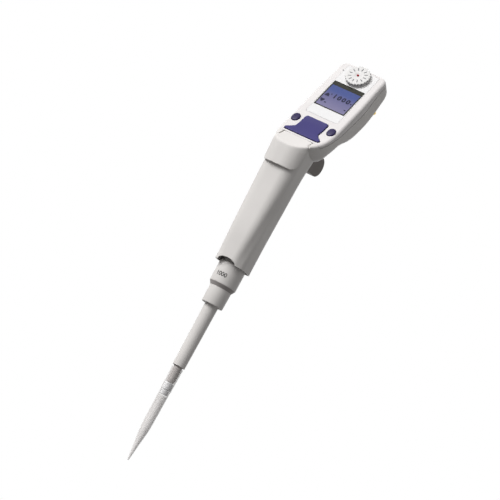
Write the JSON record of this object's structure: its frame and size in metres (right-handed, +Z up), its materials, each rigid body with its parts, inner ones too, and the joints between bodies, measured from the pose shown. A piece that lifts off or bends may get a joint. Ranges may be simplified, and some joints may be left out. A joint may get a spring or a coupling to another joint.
{
  "type": "electronic pipette",
  "caption": "Handheld motor-driven single-channel pipette with a tilted display head, dial, rocker, ejector and filter tip.",
  "frame": {"origin": "centre of the flat rest face under the finger hook, on which the pipette hangs on a rail", "axes": "+Z up along the pipette axis, from the tip to the head; -Y is the side the display faces"},
  "size_m": [0.0424, 0.0673, 0.3409],
  "materials": {
    "housing_plastic": "fine satin, light warm grey",
    "cover_plastic": "satin, near white",
    "panel_white": "smooth white",
    "window_clear": "clear hard-coated pane",
    "display_blue": "liquid crystal display, lavender blue",
    "board_green": "solder mask",
    "inner_dark": "moulded, dark grey",
    "seal_rubber": "smooth",
    "cap_red": "dark red",
    "steel": "turned",
    "button_blue": "soft satin, deep blue violet",
    "contact_gold": "gold plated",
    "cone_grey": "smooth grey",
    "tip_clear": "translucent polypropylene",
    "filter_white": "porous, white",
    "hook_grey": "dark grey, fine matt"
  },
  "bodies": {
    "instrument": {"rear_housing": "housing_plastic", "head_front_cover": "cover_plastic", "face_panel": "panel_white", "display_window": "window_clear", "display_module": "display_blue", "main_board": "board_green", "battery": "inner_dark", "encoder": "inner_dark", "rocker_switch_upper": "inner_dark", "rocker_switch_lower": "inner_dark", "softkey_switch_left": "inner_dark", "softkey_switch_right": "inner_dark", "piston_cylinder": "inner_dark", "piston_seal": "seal_rubber", "chassis": "inner_dark", "rocker_pin": "steel", "seal_retainer": "steel", "motor_case": "steel", "ejector_spring": "steel", "cone_spring": "steel", "hook_screw": "steel", "charging_contact_left": "contact_gold", "charging_contact_right": "contact_gold", "finger_hook": "hook_grey"},
    "ejector": {"ejector_button": "housing_plastic", "ejector_rod": "steel", "ejector_sleeve": "housing_plastic"},
    "tip": {"pipette_tip": "tip_clear", "upper_filter": "filter_white", "lower_filter": "filter_white"},
    "cone": {"tip_cone": "cone_grey"},
    "plunger": {"piston": "steel", "lead_screw": "steel"},
    "rotor": {"motor_rotor": "inner_dark"},
    "dial": {"selection_dial": "panel_white", "dial_shaft": "steel", "dial_cap": "cap_red"},
    "rocker": {"rocker_button": "button_blue"},
    "left_key": {"softkey_left": "button_blue"},
    "right_key": {"softkey_right": "button_blue"},
    "battery_door": {"battery_cover": "housing_plastic"}
  },
  "joints": [
    {"name": "ejector_press", "type": "slide", "parent": "instrument", "child": "ejector", "axis": [0, 0, -1], "range_m": [0, 0.009], "stiffness_N_per_m": 500, "springref_m": -0.006, "deforming": ["ejector_spring"]},
    {"name": "tip_off", "type": "slide", "parent": "ejector", "child": "tip", "axis": [0, 0, -1], "range_m": [0, 0.02]},
    {"name": "cone_press", "type": "slide", "parent": "instrument", "child": "cone", "axis": [0, 0, 1], "range_m": [0, 0.0015], "stiffness_N_per_m": 3000, "springref_m": -0.002, "deforming": ["cone_spring"]},
    {"name": "plunger_stroke", "type": "slide", "parent": "instrument", "child": "plunger", "axis": [0, 0, 1], "range_m": [0, 0.018]},
    {"name": "rotor_spin", "type": "hinge", "parent": "instrument", "child": "rotor", "pos_m": [0, -0.024, -0.041], "axis": [0, 0, 1], "range_deg": [0, 2160]},
    {"name": "dial_turn", "type": "hinge", "parent": "instrument", "child": "dial", "pos_m": [0, 0.00769, 0.08078], "axis": [0, -0.8825, 0.4702], "continuous": true},
    {"name": "rocker_tilt", "type": "hinge", "parent": "instrument", "child": "rocker", "pos_m": [0, -0.01923, 0.02261], "axis": [1, 0, 0], "range_deg": [-3, 3], "stiffness_Nm_per_rad": 0.4},
    {"name": "left_key_press", "type": "slide", "parent": "instrument", "child": "left_key", "axis": [0, 0.8825, -0.4702], "range_m": [0, 0.0008], "stiffness_N_per_m": 1200, "springref_m": -0.0008},
    {"name": "right_key_press", "type": "slide", "parent": "instrument", "child": "right_key", "axis": [0, 0.8825, -0.4702], "range_m": [0, 0.0008], "stiffness_N_per_m": 1200, "springref_m": -0.0008},
    {"name": "battery_door_off", "type": "slide", "parent": "instrument", "child": "battery_door", "axis": [0, 0.8825, -0.4702], "range_m": [0, 0.012]}
  ],
  "couplings": [
    {"joint": "rotor_spin", "follows": "plunger_stroke", "rad_per_m": 2094.4}
  ]
}
